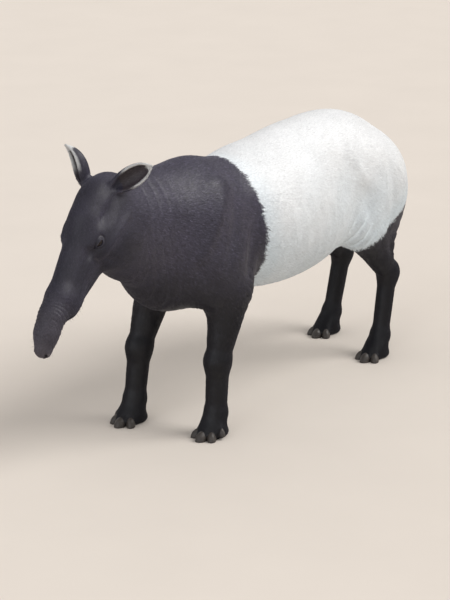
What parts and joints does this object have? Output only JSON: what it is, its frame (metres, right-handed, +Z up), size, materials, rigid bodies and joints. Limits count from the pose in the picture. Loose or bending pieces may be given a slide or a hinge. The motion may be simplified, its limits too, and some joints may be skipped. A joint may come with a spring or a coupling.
{
  "type": "malayan tapir",
  "caption": "Still, life-size model of a standing Malayan tapir with its head lowered, black fore and hind parts and a white saddle, standing on its own feet.",
  "frame": {"origin": "on the floor under the middle of the animal's bounding box", "axes": "+X towards the tail, so the animal faces -X; +Y to the animal's right; +Z up"},
  "size_m": [2.1166, 0.4964, 1.0937],
  "materials": {
    "black_coat": "short, flat, dense black hair",
    "white_coat": "short, flat, dense white hair",
    "ear_tip_white": "short white hair on the rim and tip of the ear",
    "horn": "dull, finely ridged hoof horn",
    "eye_dark": "wet, dark brown eye"
  },
  "bodies": {
    "root": {"eye_left": "eye_dark", "eye_right": "eye_dark", "ear_left": "black_coat", "ear_tip_left": "ear_tip_white", "ear_right": "black_coat", "ear_tip_right": "ear_tip_white", "head": "black_coat", "proboscis": "black_coat", "lower_jaw": "black_coat", "neck": "black_coat", "tail": "white_coat", "hoof_fore_left_1": "horn", "hoof_fore_left_2": "horn", "hoof_fore_left_3": "horn", "hoof_fore_left_4": "horn", "fore_left_upper_leg": "black_coat", "fore_left_lower_leg": "black_coat", "fore_left_foot": "black_coat", "hoof_fore_right_1": "horn", "hoof_fore_right_2": "horn", "hoof_fore_right_3": "horn", "hoof_fore_right_4": "horn", "fore_right_upper_leg": "black_coat", "fore_right_lower_leg": "black_coat", "fore_right_foot": "black_coat", "hoof_hind_left_1": "horn", "hoof_hind_left_2": "horn", "hoof_hind_left_3": "horn", "hind_left_upper_leg": "black_coat", "hind_left_lower_leg": "black_coat", "hind_left_foot": "black_coat", "hoof_hind_right_1": "horn", "hoof_hind_right_2": "horn", "hoof_hind_right_3": "horn", "hind_right_upper_leg": "black_coat", "hind_right_lower_leg": "black_coat", "hind_right_foot": "black_coat", "forequarters": "black_coat", "saddle": "white_coat", "rump": "white_coat"}
  },
  "joints": []
}
